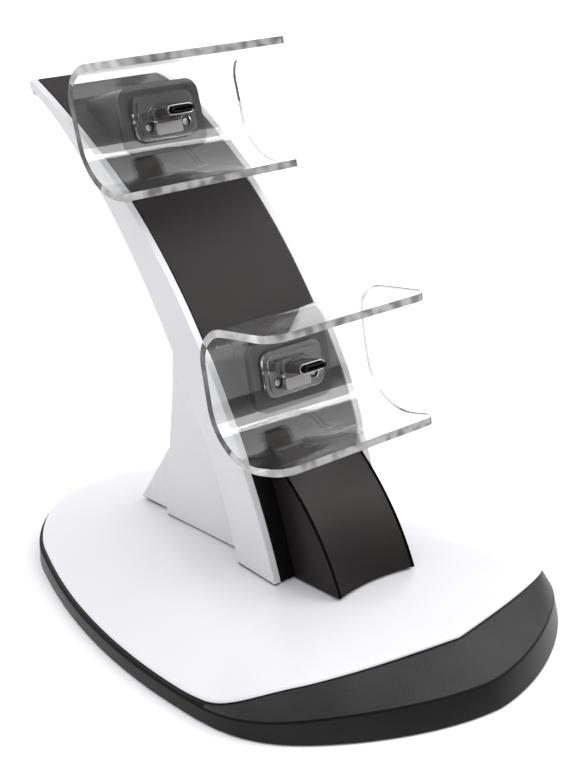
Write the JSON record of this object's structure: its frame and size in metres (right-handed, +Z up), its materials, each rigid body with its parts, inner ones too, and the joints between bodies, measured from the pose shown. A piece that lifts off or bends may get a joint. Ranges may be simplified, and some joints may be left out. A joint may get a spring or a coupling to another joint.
{
  "type": "controller charging station",
  "caption": "Desk charging stand for game controllers: domed base, swept-back blade and clear bent cradles, each with a plug pointing forward.",
  "frame": {"origin": "on the table under the middle of the base, at the centre of the bounding box", "axes": "+Z up, -Y towards the front where the controllers go, +X to the right for someone who looks at the front"},
  "size_m": [0.1112, 0.159, 0.1417],
  "materials": {
    "black_case": "finely textured dark moulded plastic",
    "black_gloss": "smooth black moulded plastic",
    "face_black": "satin charcoal plastic",
    "white_case": "satin white moulded plastic",
    "silver": "silver painted plastic",
    "clear": "clear bent acrylic sheet, polished",
    "steel": "bright nickel plated steel",
    "dark_steel": "dark plated screw steel",
    "rubber": "soft black rubber",
    "board_green": "green glass-fibre circuit board",
    "lead_black": "black insulated lead"
  },
  "bodies": {
    "root": {"base_shell": "black_case", "base_top_plate": "white_case", "arm_shell": "silver", "arm_front_panel": "face_black", "column": "silver", "rear_fin": "silver", "front_block": "black_gloss", "ballast_left": "steel", "ballast_right": "steel", "main_circuit_board": "board_green", "input_socket_shell": "steel", "input_socket_tongue": "black_gloss", "lead_lower": "lead_black", "lead_upper": "lead_black", "arm_screw_front": "dark_steel", "arm_screw_rear": "dark_steel", "blade_screw_1": "dark_steel", "blade_screw_2": "dark_steel", "case_screw_1": "dark_steel", "rubber_foot_1": "rubber", "case_screw_2": "dark_steel", "rubber_foot_2": "rubber", "case_screw_3": "dark_steel", "rubber_foot_3": "rubber", "case_screw_4": "dark_steel", "rubber_foot_4": "rubber", "lower_cradle": "clear", "lower_connector_housing": "black_gloss", "lower_connector_platform": "clear", "lower_plug_body": "black_gloss", "lower_plug_shell": "steel", "lower_plug_contacts": "black_gloss", "lower_plug_board": "board_green", "lower_cradle_screw_left": "dark_steel", "lower_cradle_screw_right": "dark_steel", "upper_cradle": "clear", "upper_connector_housing": "black_gloss", "upper_connector_platform": "clear", "upper_plug_body": "black_gloss", "upper_plug_shell": "steel", "upper_plug_contacts": "black_gloss", "upper_plug_board": "board_green", "upper_cradle_screw_left": "dark_steel", "upper_cradle_screw_right": "dark_steel"}
  },
  "joints": []
}
